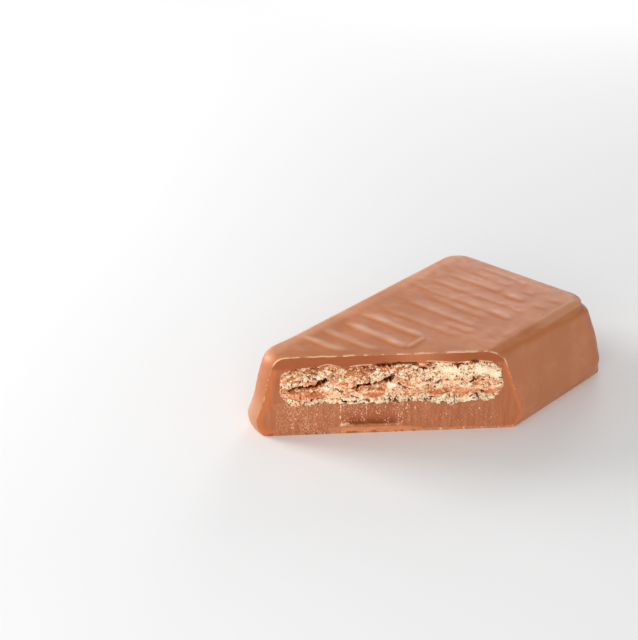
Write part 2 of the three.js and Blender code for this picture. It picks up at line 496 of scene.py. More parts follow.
def distance_to(spots, line):
    """Distance of every spot to the nearest of the line's points, worked out in chunks."""
    best = np.full(len(spots), np.inf)
    for start in range(0, len(spots), CHUNK):
        part = spots[start : start + CHUNK]
        gaps = np.linalg.norm(part[:, None] - line[None], axis=-1)
        best[start : start + CHUNK] = gaps.min(1)
    return best


def spread_points(loop, spacing, margin, seed):
    """Plan points strewn evenly inside a loop, no nearer to it than the margin."""
    rng = np.random.default_rng(seed)
    low, high = loop.min(0), loop.max(0)
    columns = np.arange(low[0], high[0], spacing)
    rows = np.arange(low[1], high[1], spacing)
    spots = np.stack(np.meshgrid(columns, rows), -1).reshape(-1, 2)
    spots = spots + rng.uniform(-JITTER, JITTER, spots.shape) * spacing
    spots = spots[inside_loop(spots, loop)]
    return spots[distance_to(spots, resampled(loop, LOOP_SAMPLES)) > margin]


def with_height(plan, height):
    return np.concatenate([plan, np.broadcast_to(height, plan.shape[:-1])[..., None]], -1)


# ---- the chocolate

SKIN_STEP = 0.42
FOOT_LEVELS, WALL_LEVELS, FILLET_LEVELS = 15, 38, 23
SIDE_LEVELS = FOOT_LEVELS + WALL_LEVELS + FILLET_LEVELS
CUT_COLUMNS = 440
CUT_RINGS = 44
POCKET_GAP = 0.02

BULGE_CENTRE = (0.0, 3.0, 0.0)
SKIN_INSET = 0.05
CORNER_DROP = 0.5
CREASE_DEPTH, CREASE_HALF_WIDTH = 0.13, 0.33
NEAR_CORNER_FILL, NEAR_CORNER_HOLLOW = 0.8, 0.26
NEAR_CORNER_REACH = 9.0
RIGHT_FOOT_FILL, FAR_FOOT_FILL = 0.1, 0.85


def block_levels():
    foot = BELLY_HEIGHT * np.linspace(0, 1, FOOT_LEVELS + 1)[:-1] ** 1.3
    wall = np.linspace(BELLY_HEIGHT, SHOULDER_HEIGHT, WALL_LEVELS)
    turns = np.radians(np.linspace(0, 90, FILLET_LEVELS + 1)[1:])
    return np.concatenate([foot, wall, SHOULDER_HEIGHT + TOP_FILLET * np.sin(turns)])


def corner_drop(plan):
    """How much lower the top's far right corner lies, where the chocolate pulled away."""
    return CORNER_DROP * smooth(plan[..., 0], 8.4, 12.0) * smooth(plan[..., 1], 18.2, 21.8)


def crease(points):
    """1 along the shallow crease under the top's right edge."""
    x, y, z = points.T
    height = 10.95 - 0.85 * smooth(y, -2.0, 22.0) + 0.08 * noise(paired(y, y), 3.0, 23)
    along = smooth(x, 10.6, 11.6) * fade(y, 17.5, 21.0)
    return hump(z, height, CREASE_HALF_WIDTH) * along


def near_corner_fill(points):
    """How far the cut's near end bulges along the cut: out under the top, in at half height."""
    away = np.linalg.norm(points[:, :2] - CUT_START, axis=1)
    hollow = NEAR_CORNER_HOLLOW * hump(points[:, 2], 4.6, 2.4)
    fill = NEAR_CORNER_FILL * fillet_inset(points[:, 2]) - hollow
    return fill * fade(away, 2.0, NEAR_CORNER_REACH)


def foot_fill(points):
    """Shift of the foot's points: a little to the right, and out to a sharp far right corner."""
    low = (np.maximum(1 - points[:, 2] / BELLY_HEIGHT, 0) ** 2)[:, None]
    radius = CORNER_RADIUS - CORNER_SHRINK * FOOT_TUCK * low
    centre = [HALF_WIDTH, HALF_LENGTH] - FOOT_TUCK * low - radius
    offset = points[:, :2] - centre
    reach = np.where(offset.min(1) > 0, offset.max(1), np.inf)[:, None]
    shift = low * FAR_FOOT_FILL * np.maximum(radius / reach - 1, 0) * offset
    shift[:, 0] += RIGHT_FOOT_FILL * low[:, 0] * smooth(points[:, 0], 9.0, 12.5)
    return shift


def skin_unevenness(points):
    """Outward bulge of the walls, from pouring and cooling, with a lip at the far right corner."""
    x, y, z = points.T
    slow = noise(points * [1, 1, 1.4], 7.0, 21)
    quick = noise(points * [1, 1, 1.3], 2.6, 22)
    belly = 0.26 * hump(z, 5.6, 3.2) * smooth(x, 9.5, 12.5) * smooth(y, 17.0, 21.0)
    lip = 0.75 * hump(z, 11.36, 0.26) - 0.7 * hump(z, 10.55, 0.5)
    lip *= smooth(x, 7.8, 10.4) * smooth(y, 16.6, 19.4)
    return 0.07 * slow + 0.02 * quick + belly + lip - CREASE_DEPTH * crease(points)


def moulded(points):
    """The walls' points with everything that makes them less regular than the mould."""
    outward = points - BULGE_CENTRE
    outward[:, 2] = 0
    outward /= np.linalg.norm(outward, axis=1)[:, None]
    on_wall = band(points[:, 2], 0.0, 1.5, TOP_HEIGHT - 0.6, TOP_HEIGHT)
    bulge = skin_unevenness(points) * on_wall - SKIN_INSET
    points = points + outward * bulge[:, None]
    points[:, 2] -= corner_drop(points) * smooth(points[:, 2], 8.0, TOP_HEIGHT)
    points[:, :2] -= near_corner_fill(points)[:, None] * CUT_ALONG
    points[:, :2] += foot_fill(points)
    return points


CHIP_LEFT, CHIP_RIGHT, CHIP_FLOOR, CHIP_TOP, CHIP_DEPTH = 11.0, 19.6, 1.2, 4.3, 0.36
LIP_PLACE, LIP_HALF_WIDTH, LIP_HEIGHT, EDGE_RIM = 0.08, 0.062, 0.09, 0.09
CURL_HALF_WIDTH, LEDGE_HALF_WIDTH = 0.06, 0.05
PIT_DEPTH = 0.3
# Thin curls of chocolate above the stack, as lines of (u, height).
CURLS = (
    ((8.4, 10.12), (9.2, 10.34), (9.9, 10.28), (11.0, 9.88)),
    ((12.3, 9.92), (13.4, 10.08), (15.1, 10.12)),
    ((22.2, 10.38), (23.6, 10.3), (26.0, 9.98), (27.3, 10.08)),
    ((28.9, 10.2), (30.6, 9.92)),
)


def chip_depth(u, z):
    """Depth of the flake that broke out under the stack: it ends below at a small ledge."""
    wander = noise(paired(u, z), 1.1, 41)
    left = 0.25 * smooth(u + 0.12 * wander, CHIP_LEFT - 0.05, CHIP_LEFT + 0.12)
    left += 0.75 * smooth(u + 0.3 * wander, CHIP_LEFT + 0.6, CHIP_LEFT + 1.6)
    right = fade(u + 0.5 * wander, CHIP_RIGHT - 2.2, CHIP_RIGHT)
    ledge = CHIP_FLOOR + 0.05 * noise(paired(u, u * 0), 0.7, 42) + 0.012 * (u - 15)
    lower = smooth(z, ledge - 0.03, ledge + 0.05)
    slope = fade(z, ledge, CHIP_TOP)
    return CHIP_DEPTH * left * right * lower * (0.15 + 0.85 * slope**4)


def line_distance(u, z, line):
    """Distance of (u, z) spots from a bent line."""
    best = np.full(np.shape(u), np.inf)
    for (u0, z0), (u1, z1) in zip(line, line[1:]):
        run = np.array([u1 - u0, z1 - z0])
        share = np.clip(((u - u0) * run[0] + (z - z0) * run[1]) / (run @ run), 0, 1)
        best = np.minimum(best, np.hypot(u - u0 - share * run[0], z - z0 - share * run[1]))
    return best


def burr(u, z, rim):
    """1 on the thin lips that the knife raised: along the edge and above the stack."""
    spots = paired(u, z)
    broken = smooth(layered_noise(spots, 1.1, 47, 4), -0.3, 0.25)
    broken = np.maximum(broken, band(u, 2.2, 2.6, 4.0, 5.0))
    dotted = 0.6 * smooth(noise(spots, 0.24, 50), 0.2, 0.6) * smooth(z, 2.0, 6.0)
    share = dotted + (0.2 + 0.8 * broken - dotted) * smooth(z, 8.6, 10.2)
    lip = hump(rim, LIP_PLACE, LIP_HALF_WIDTH) * share
    for line in CURLS:
        lip = np.maximum(lip, hump(line_distance(u, z, line), 0, CURL_HALF_WIDTH))
    ledge = ((CHIP_LEFT - 0.2, CHIP_FLOOR - 0.08), (CHIP_RIGHT - 0.8, CHIP_FLOOR - 0.02))
    ends = np.maximum(fade(u, 12.4, 13.6), smooth(u, 16.5, 17.8))
    crumbs = (0.25 + 0.75 * smooth(noise(spots, 0.3, 48), -0.5, 0.2)) * (0.35 + 0.65 * ends)
    return np.maximum(lip, crumbs * hump(line_distance(u, z, ledge), 0, LEDGE_HALF_WIDTH))


def crumb_dust(u, z):
    """How much fine crumb dust lies on the cut under the stack."""
    left = band(u, 2.0, 3.0, 9.5, 11.5)
    middle = 0.8 * band(u, 10.9, 11.3, 17.5, 21.5) * smooth(z, 2.0, 3.2)
    right = 0.35 * band(u, 17.0, 22.0, 31.0, 33.0)
    patchy = smooth(layered_noise(paired(u, z * 0.4), 1.6, 83, 3), -0.6, 0.4)
    below = fade(z, 4.6, 5.2)
    return np.maximum(np.maximum(left, middle), right) * (0.3 + 0.7 * patchy) * below


def painted_rim_glow(u, z, rim):
    """1 along the cut's sides and foot, for a painted glow where the chocolate is thin and lets
    light in.
    """
    reach = np.where(u < 10.0, 1.35, 0.75)
    sides = np.maximum(fade(u, 1.8, 3.4), smooth(u, 33.4, 34.6))
    sides = 1 - (1 - sides) * fade(z, 0.8, 2.0)
    return sides * fade(z, 9.2, 10.4) * fade(rim, 0.15 * reach, reach)


def chocolate_cut_relief(u, z, rim):
    """How far the chocolate's cut face stands out from the cut plane."""
    spots = paired(u, z)
    streaks = np.maximum(noise(spots * [1, 0.1], 0.22, 43), 0.2)
    streaks *= smooth(noise(spots, 2.5, 44), -0.2, 0.6)
    relief = 0.06 * noise(spots, 4.0, 45) + 0.02 * streaks + 0.02 * layered_noise(spots, 0.6, 46)
    relief += LIP_HEIGHT * burr(u, z, rim) - chip_depth(u, z) - cavities(u, z)[0]
    pits = fade(z, 0.1, 0.4) * smooth(layered_noise(spots, 0.4, 59, 2), 0.0, 0.5)
    relief -= PIT_DEPTH * pits * fade(u, 20.0, 26.0)
    return relief * smooth(rim, 0.0, 0.05)


def coating_marks(points, outer, hollow, face, rim, relief):
    """What the chocolate's material needs to know of every point."""
    x, y, z = points.T
    plan = points[:, :2]
    u, _ = to_cut(plan)
    cut, rim_glows, lips, sunk = np.zeros((4, len(points)))
    for rows in (outer, hollow, face):
        cut[rows] = 1
    outside = 1 - cut
    rim_glows[face] = painted_rim_glow(u[face], z[face], rim)
    rim_glows[outer] = painted_rim_glow(u[outer], z[outer], 0.0)
    # Painted highlight on the knife's raised lips, the curls and the ledge's crumbs
    lips[face] = burr(u[face], z[face], rim)
    lips[outer] = burr(u[outer], z[outer], EDGE_RIM)
    # The cut face's depth, which the material darkens as painted shade
    sunk[face] = -relief

    # Painted glow, standing for light let through thin chocolate: over the stack, and in a strip
    # along the cut's foot
    roof_glow = 0.48 * hump(u, 21.0, 4.5) * smooth(z, 9.4, 10.2)
    ragged = 0.22 * layered_noise(paired(u, z * 0.5), 1.1, 57, 3)
    strip = 1.15 - 0.6 * smooth(u, 19.0, 23.0) + ragged * smooth(u, 18.0, 21.0)
    foot_glow = fade(z, 0.6 * strip, strip) * smooth(u, 8.0, 12.0)
    foot_glow *= 1 - 0.5 * smooth(u, 19.0, 24.0)
    foot_glow *= 0.9 + 0.4 * layered_noise(paired(u * 0.5, z), 0.5, 58, 3)

    # Painted highlights: the crests and the top's side edges are lit paler
    crest_highlights = smooth(z, TOP_HEIGHT - 0.02, TOP_HEIGHT) * outside * top_relief(plan) / CREST_RISE
    left_edge_highlight = smooth(-x, 7.6, 10.2) * smooth(z, 10.0, 11.0) * outside
    left_edge_highlight *= 0.62 + 0.2 * layered_noise(plan, 2.6, 14, 2)
    right_edge_highlight = smooth(x, 9.8, 10.4) * smooth(z, 10.75, 11.05) * outside
    right_edge_highlight *= 0.66 * smooth(y, 2.0, 13.0)

    # Painted shade: darker in the crease, on the roof over the stack, in the chip and in the
    # middle under the stack
    shade = outside * crease(points) + cut * smooth(z, 9.4, 10.2)
    shade += 0.25 * cut * smooth(chip_depth(u, z), 0.0, 0.06)
    shade += 0.45 * cut * band(u, 10.6, 11.2, 18.5, 23.0) * fade(z, 4.5, 5.0)

    near_end = fade(y, -21.4, -15.0) * fade(x, -9.0, -7.0)
    # Painted sheen: paler on the near end's lower part and along the right side
    pale = near_end * (1 - 0.9 * smooth(z, 3.4, 6.6))
    pale = np.maximum(pale, 0.3 * smooth(x, 10.5, 12.0)) * outside
    # Painted shade: darker on the left wall and the near end's upper part
    wall = np.maximum(smooth(-x, 10.6, 12.8), near_end) * (0.9 - 0.38 * near_end)
    wall *= (1 - pale) * outside * fade(z, 9.6, 11.0)
    return {
        "cut": cut,
        "rim": rim_glows,
        "sunk": sunk,
        "burr": lips,
        "glow": np.maximum(roof_glow, foot_glow),
        "crest": np.maximum(np.maximum(crest_highlights, left_edge_highlight), right_edge_highlight),
        "shade": shade,
        "dust": crumb_dust(u, z) * cut,
        "pale": pale,
        "wall": wall,
    }


def cut_edge(shape, ring, height):
    """Points straight along the cut between a ring's ends, at the heights worked out for them."""
    right, left = shape.points[ring[0], :2], shape.points[ring[-1], :2]
    share = np.linspace(0, 1, CUT_COLUMNS + 2)[1:-1, None]
    line = right + share * (left - right)
    return shape.add(with_height(line, height(line)))


def top_height(plan):
    return TOP_HEIGHT + top_relief(plan) - corner_drop(plan)


def burred_top(plan):
    ragged = layered_noise(plan, 0.9, 49, 3)
    return TOP_HEIGHT + top_relief(plan) + 0.05 * smooth(ragged, -0.3, 0.5)


def loop_of(rings, top_edge, bottom_edge):
    """The closed loop that the ends of rings and two edges make in the cut."""
    return np.concatenate([rings[:, 0], top_edge, rings[::-1, -1], bottom_edge[::-1]])


def make_coating():
    shape = Shape()
    levels = block_levels()
    rings = np.stack([with_height(block_outline(z, SKIN_STEP), z) for z in levels])
    skin = shape.add(moulded(rings.reshape(-1, 3)).reshape(rings.shape))
    shape.grid(skin)
    top_edge = cut_edge(shape, skin[-1], burred_top)
    foot_edge = cut_edge(shape, skin[0], lambda plan: 0.0)
    shape.lid(skin[-1], top_edge[::-1], 0.24, 0.14, 51, top_height)
    shape.lid(skin[0], foot_edge[::-1], 1.6, 0.8, 52, lambda plan: 0.0)

    # The hollow that holds the stack
    def hollow_floor(plan):
        return face_height(0, plan) - POCKET_GAP

    def hollow_roof(plan):
        return face_height(ROOF_FACE, plan) + POCKET_GAP

    rings = []
    for share in np.linspace(0, 1, SIDE_LEVELS):
        outline = stack_outline(share, POCKET_GAP)
        floor, roof = hollow_floor(outline), hollow_roof(outline)
        height = floor + share * (roof - floor)
        rings.append(with_height(end_wobble(outline, height), height))
    pocket = shape.add(np.stack(rings))
    shape.grid(pocket)
    sides = ((pocket[-1], hollow_roof), (pocket[0], hollow_floor))
    roof_edge, floor_edge = edges = [cut_edge(shape, *side) for side in sides]
    for (ring, height), edge in zip(sides, edges):
        shape.lid(ring, edge[::-1], 0.9, 0.3, 53, height)

    # The cut face, in rings from the outline to the hollow
    outer = loop_of(skin, top_edge, foot_edge)
    hollow = loop_of(pocket, roof_edge, floor_edge)
    outer_points, hollow_points = shape.points[outer], shape.points[hollow]
    shares = np.linspace(0, 1, CUT_RINGS + 1)[1:-1, None, None] ** 1.15
    between = outer_points + shares * (hollow_points - outer_points)
    u, z = to_cut(between[..., :2])[0], between[..., 2]
    outline = paired(to_cut(outer_points[:, :2])[0], outer_points[:, 2])
    outline = resampled(np.concatenate([outline, outline[:1]]), OUTLINE_SAMPLES)
    rim = distance_to(paired(u, z).reshape(-1, 2), outline).reshape(u.shape)
    relief = chocolate_cut_relief(u, z, rim)
    face = shape.add(with_height(from_cut(u, -relief), z))
    rows = np.concatenate([outer[None], face, hollow[None]])
    shape.grid(np.concatenate([rows, rows[:, :1]], 1))

    marks = coating_marks(shape.points, outer, hollow, face, rim, relief)
    piece = shape.finish("chocolate_coating", marks, sharp=48)
    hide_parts("coating")
    return piece


# ---- wafer and cream

LAYER_COLUMNS = 860
LAYER_ROW_STEP, EXTRA_ROWS = 0.036, 7
LAYER_GAP, THINNEST = 0.002, 0.04
ON_CUT = 0.01

# Clefts and holes between the layers: a line of (u, height), half thickness and depth.
CLEFTS = (
    (((4.4, 6.6), (5.6, 7.1), (7.4, 7.15), (8.5, 7.6), (9.2, 7.95)), 0.17, 1.2),
    (((8.4, 7.7), (9.1, 8.05)), 0.31, 1.4),
    (((12.7, 6.7), (13.9, 7.2), (15.5, 7.2), (16.8, 7.75), (17.6, 8.1)), 0.17, 1.2),
    (((17.0, 7.75), (17.8, 8.15)), 0.32, 1.4),
    (((9.3, 7.4), (10.1, 6.8), (11.3, 6.2)), 0.07, 0.8),
    (((18.6, 7.2), (19.3, 6.7), (20.5, 6.3)), 0.07, 0.8),
    (((23.5, 7.15), (24.2, 7.5)), 0.12, 0.9),
    (((27.9, 7.0), (28.7, 7.35)), 0.12, 0.9),
    (((25.1, 7.4), (25.3, 7.3)), 0.09, 0.8),
    (((29.5, 7.25), (29.7, 7.15)), 0.1, 0.8),
    (((23.5, 5.05), (24.6, 5.5), (25.4, 5.85)), 0.065, 0.7),
    (((27.9, 4.95), (28.8, 5.4), (29.6, 5.7)), 0.065, 0.7),
    (((15.8, 9.95), (18.0, 10.12), (20.8, 10.1)), 0.19, 0.9),
    (((21.0, 9.7), (22.0, 9.35)), 0.2, 0.5),
    (((22.5, 10.1), (23.0, 9.95)), 0.1, 0.7),
    (((25.7, 9.8), (27.6, 9.72)), 0.14, 0.8),
    (((28.1, 10.08), (28.8, 10.0)), 0.17, 1.0),
    (((7.3, 9.95), (8.3, 9.85)), 0.1, 0.6),
    (((6.5, 9.2), (7.0, 9.1)), 0.1, 0.7),
    (((7.6, 9.0), (8.6, 8.95)), 0.08, 0.5),
    (((9.0, 8.7), (10.2, 8.5)), 0.08, 0.7),
    (((17.3, 8.85), (18.5, 8.6)), 0.08, 0.7),
    (((15.0, 9.3), (15.5, 9.2)), 0.1, 0.7),
    (((11.5, 4.75), (12.2, 4.7)), 0.1, 0.7),
    (((14.2, 4.9), (14.9, 4.7)), 0.1, 0.6),
    (((21.3, 5.0), (21.6, 4.8)), 0.1, 0.6),
)


def cavities(u, z):
    """The clefts that opened between the layers: their depth, and how much painted shade darkens
    them.
    """
    spots = paired(u, z)
    wander = paired(layered_noise(spots, 0.6, 64, 3), layered_noise(spots, 0.6, 61, 3))
    shifted = spots + 0.13 * wander
    pinch = 0.85 + 0.6 * layered_noise(spots, 0.42, 62, 2)
    filled = 0.5 + 0.5 * smooth(layered_noise(spots, 0.45, 63, 2), -0.4, 0.15)
    total, dark = np.zeros((2,) + np.shape(u))
    for line, half, depth in CLEFTS:
        reach = line_distance(shifted[..., 0], shifted[..., 1], line) / (half * pinch)
        total = np.maximum(total, depth * filled * fade(reach, 0.7, 1.2))
        dark = np.maximum(dark, filled * fade(reach, 0.95, 1.3))
    return total, dark


# Sizes of the crumbs, and how far they stray over the layers' borders
LUMP, CRUMB, GRAIN = 0.6, 0.27, 0.14
STRAY = 0.17
PORE_DEPTH = 0.5
# Smooth lumps that stand out, of wafer and of cream, as (u, height, half width, half height).
PALE_LUMPS = (
    (9.45, 7.15, 0.85, 0.85),
    (17.75, 7.05, 0.95, 0.74),
    (25.2, 9.0, 1.5, 0.62),
    (29.6, 8.8, 1.3, 0.62),
    (31.2, 8.1, 0.8, 0.62),
)
BROWN_LUMPS = (
    (7.4, 5.8, 1.2, 0.45),
    (15.4, 5.65, 1.7, 0.42),
    (23.9, 5.7, 1.3, 0.34),
    (27.6, 5.8, 2.0, 0.36),
    (30.4, 5.5, 1.2, 0.34),
    (7.7, 7.45, 0.55, 0.2),
    (16.0, 7.45, 0.6, 0.2),
    (12.2, 8.9, 0.8, 0.4),
    (21.6, 9.6, 0.8, 0.3),
)


def strayed_cream(u, z, reach, own):
    """1 for cream and 0 for wafer, where every crumb comes from a spot near by."""
    turn = 60.0 * own
    u, z = u + reach * np.cos(turn), z + reach * np.sin(turn)
    plan = from_cut(u, np.zeros_like(u))
    return sum(z > face_height(index, plan) for index in range(1, ROOF_FACE)) % 2


def lumps(u, z, table, uneven):
    """1 on the lumps of a table, and 0 away from them."""
    share = np.zeros_like(u)
    for place, height, half_width, half_height in table:
        away = np.hypot((u - place) / half_width, (z - height) / half_height) + 0.25 * uneven
        share = np.maximum(share, fade(away, 0.4, 1.05))
    return share


def soft_area(u, z):
    """1 at the stack's upper left, where the wafer is softer and paler."""
    return smooth(z, 8.2, 8.8) * fade(u, 7.5, 10.0)


def face_tone(u, z, grains, cream, pale, brown):
    """How pale the crumbs are: brown near 0 and nearly white near 1."""
    tone = 0.67 + 2.8 * grains * (1 - 0.35 * cream) * (1 - 0.5 * np.maximum(pale, brown))
    tone += 0.22 * layered_noise(paired(u * 0.6, z * 1.3), 1.6, 106, 3)
    tone += 0.22 * smooth(u, 17.0, 25.0) - 0.03 * fade(u, 13.0, 17.0)
    tone += 0.6 * pale - 0.42 * brown + 0.44 * hump(z, 4.6, 0.5)
    tone += 0.2 * soft_area(u, z)
    under_cleft = band(u, 3.8, 4.8, 7.9, 8.6) + band(u, 12.2, 13.2, 16.4, 17.0)
    tone -= 0.28 * under_cleft * hump(z, 6.75, 0.4)
    tone -= 0.28 * cream * smooth(u, 19.0, 23.0) * fade(z, 6.2, 6.8)
    tone -= 0.35 * smooth(z, 8.7, 9.6) * fade(u, 17.0, 23.0)
    crust = face_height(4, from_cut(u, np.zeros_like(u))) + 0.25
    return tone + 0.4 * hump(z, crust, 0.2) * fade(u, 18.0, 22.0)


def crumbly_face(u, z):
    """The stack's broken face: its depth, its crumbs' tone and cream, and the painted shade of its
    pores, clefts and recesses.
    """
    spots = paired(u, z)
    warp = paired(noise(spots, 0.35, 107), noise(spots, 0.35, 108))
    lump, lump_gap, lump_own = cells(spots * [0.65, 1] + 0.22 * warp, LUMP, 101)
    crumb, crumb_gap, crumb_own = cells(spots * [0.72, 1] + 0.12 * warp, CRUMB, 102)
    _, _, grain_own = cells(spots + 0.05 * warp, GRAIN, 103)
    cream = 0.6 * strayed_cream(u, z, STRAY, crumb_own)
    cream += 0.4 * strayed_cream(u, z, STRAY / 2, grain_own)
    pale = lumps(u, z, PALE_LUMPS, warp[..., 0])
    brown = lumps(u, z, BROWN_LUMPS, warp[..., 1])
    calm = np.maximum(pale, brown)
    cream = cream * (1 - calm) + brown

    cracked = smooth(layered_noise(spots, 1.2, 109, 2), -0.35, 0.35)
    rough = 0.22 * (lump_own - 0.5) + 0.3 * (lump**2 - 0.3)
    rough += 0.2 * (crumb_own - 0.5) + 0.2 * (crumb**2 - 0.3) + 0.1 * (grain_own - 0.5)
    rough += 0.2 * cracked * fade(lump_gap, 0.0, 0.2)
    rough += 0.14 * cracked * fade(crumb_gap, 0.0, 0.25)
    rough *= 1 - 0.45 * cream
    holes = layered_noise(spots * [0.8, 1] + 0.05 * warp, 0.42, 104, 3)
    pits = noise(spots * [1, 0.8] + 0.05 * warp, 0.2, 105)
    seam = hump(z, 7.45 + 0.3 * warp[..., 0], 0.3) * smooth(u, 19.5, 22.0)
    pores = smooth(holes, 0.46, 0.66) + 0.7 * smooth(pits + 0.4 * seam, 0.66, 0.86)
    pores *= (1 - 0.6 * cream) * (1 - calm)
    depth = rough * (1 - 0.6 * calm) - 0.2 * calm + PORE_DEPTH * pores

    turn = 90.0 * crumb_own
    cavity, dark = cavities(u + 0.09 * np.cos(turn), z + 0.09 * np.sin(turn))
    cavity, dark = cavity * (1 - 0.8 * brown), dark * (1 - 0.8 * brown)
    depth = np.where(cavity > 0.03, np.maximum(depth, cavity), depth)
    # Painted shade, darker in the recesses between crumbs
    recess = smooth(rough * (1 - 0.7 * calm), 0.02, 0.4)
    recess *= 0.7 * (1 - 0.5 * soft_area(u, z))
    in_pores = (0.6 + 0.4 * lump_own) * smooth(pores, 0.15, 0.7)
    dark = np.maximum(np.maximum(dark, in_pores), recess)
    grains = 0.25 * lump_own + 0.37 * crumb_own + 0.38 * grain_own - 0.5
    return depth, face_tone(u, z, grains, cream, pale, brown), cream, dark


def make_layer(index):
    name = LAYER_NAMES[index]
    total = FACE_HEIGHTS[-1] - FACE_HEIGHTS[0]
    low_share, high_share = (FACE_HEIGHTS[index : index + 2] - FACE_HEIGHTS[0]) / total
    rows = int((high_share - low_share) * total / LAYER_ROW_STEP) + EXTRA_ROWS
    across = np.linspace(0, 1, LAYER_COLUMNS + 2)[1:-1, None]
    rings = []
    for share in np.linspace(0, 1, rows):
        outline = stack_outline(low_share + share * (high_share - low_share))
        front = outline[-1] + across * (outline[0] - outline[-1])
        ring = np.concatenate([outline, front])
        floor = face_height(index, ring) + LAYER_GAP
        roof = face_height(index + 1, ring) - LAYER_GAP
        middle = (floor + roof) / 2
        roof = np.maximum(roof, middle + THINNEST / 2)
        floor = np.minimum(floor, middle - THINNEST / 2)
        height = floor + share * (roof - floor)
        rings.append(with_height(end_wobble(ring, height), height))
    rings = np.stack(rings)

    # The cut face sinks in by its depth.
    u, depth = to_cut(rings[..., :2])
    sunk, tone, cream, dark = crumbly_face(u, rings[..., 2])
    sunk = np.where(depth < ON_CUT, sunk, 0)
    rings[..., :2] -= sunk[..., None] * CUT_OUTWARD

    shape = Shape()
    grid = shape.add(rings)
    shape.grid(np.concatenate([grid, grid[:, :1]], 1))
    for row, face, gap in ((grid[0], index, LAYER_GAP), (grid[-1], index + 1, -LAYER_GAP)):
        ring, front = row[:-LAYER_COLUMNS], row[-LAYER_COLUMNS:]
        shape.lid(ring, front, 1.2, 0.5, 54, lambda plan: face_height(face, plan) + gap)

    # Inside the lids, every point gets full painted shade and has its layer's own kind.
    marks = {}
    looks = (("dark", dark, 1.0), ("tone", tone, 0.5), ("cream", cream, index % 2))
    for mark, on_rings, inside in looks:
        marks[mark] = np.full(len(shape.points), inside, float)
        marks[mark][grid] = on_rings
    piece = shape.finish(name + "_layer", marks, sharp=45)
    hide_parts(name)
    return piece


# ---- crumbs on the cut

# Fields of crumbs that the knife dragged down: left, right, bottom, top, count and size.
CRUMB_FIELDS = (
    (2.6, 10.9, 0.6, 4.5, 1500, 1.0),
    (11.1, 20.5, 1.5, 4.5, 1700, 1.0),
    (10.9, 12.6, 1.2, 1.5, 80, 2.2),
    (17.0, 19.6, 1.16, 1.4, 70, 1.7),
    (10.7, 11.15, 1.2, 4.4, 200, 1.7),
    (17.8, 21.8, 0.7, 4.4, 120, 1.6),
    (18.5, 22.5, 0.8, 4.3, 340, 1.2),
    (22.0, 32.0, 0.8, 4.1, 200, 1.2),
    (3.0, 32.5, 4.1, 4.7, 420, 1.0),
    (1.6, 34.0, 0.1, 0.3, 600, 1.2),
)
CRUMB_SMALL, CRUMB_LARGE = 0.018, 0.1
DRAGGED_SHARE = 0.4
WELL_INSIDE = 2.0


def make_crumbs():
    """Little knobby lumps on the cut, some of them in streaks, as one piece."""
    rng = np.random.default_rng(81)
    ball = bmesh.new()
    bmesh.ops.create_icosphere(ball, subdivisions=1, radius=1.0)
    knobs = np.array([tuple(v.co) for v in ball.verts])
    faces = np.array([[v.index for v in f.verts] for f in ball.faces])
    ball.free()
    shape = Shape()
    tones = []
    for left, right, bottom, top, count, scale in CRUMB_FIELDS:
        streaks = rng.choice(rng.uniform(left, right, 6 + int(right - left)), count)
        streaks += rng.normal(0, 0.05, count)
        dragged = rng.random(count) < DRAGGED_SHARE
        u = np.where(dragged, streaks, rng.uniform(left, right, count))
        z = rng.uniform(bottom, top, count)
        chance = rng.random(count) * np.where(dragged, 0.85, 1)
        crowd = noise(paired(u * 1.5, z * 0.12), 0.6, 82) + rng.uniform(-0.4, 0.4, count)
        u, z, chance = np.stack([u, z, chance])[:, crowd > -0.1]
        sizes = scale * (CRUMB_SMALL + (CRUMB_LARGE - CRUMB_SMALL) * chance**6)
        stands = chocolate_cut_relief(u, z, np.full(len(u), WELL_INSIDE))
        for plan, height, size, large in zip(from_cut(u, -stands), z, sizes, chance):
            stretch = rng.uniform(0.6, 1.2, 3) * [1, 1, rng.uniform(1.0, 2.2)]
            lump = size * (knobs * stretch + rng.normal(0, 0.2, knobs.shape))
            height = max(height, -lump[:, 2].min())
            index = shape.add(np.array([*plan, height]) + lump)
            shape.faces += index[faces].tolist()
            tones += [0.25 + 0.6 * large**2 * rng.random()] * len(knobs)
    marks = {"dark": np.zeros(len(tones)), "tone": tones, "cream": np.full(len(tones), 0.5)}
    return shape.finish("crumbs", marks)


# ---- materials


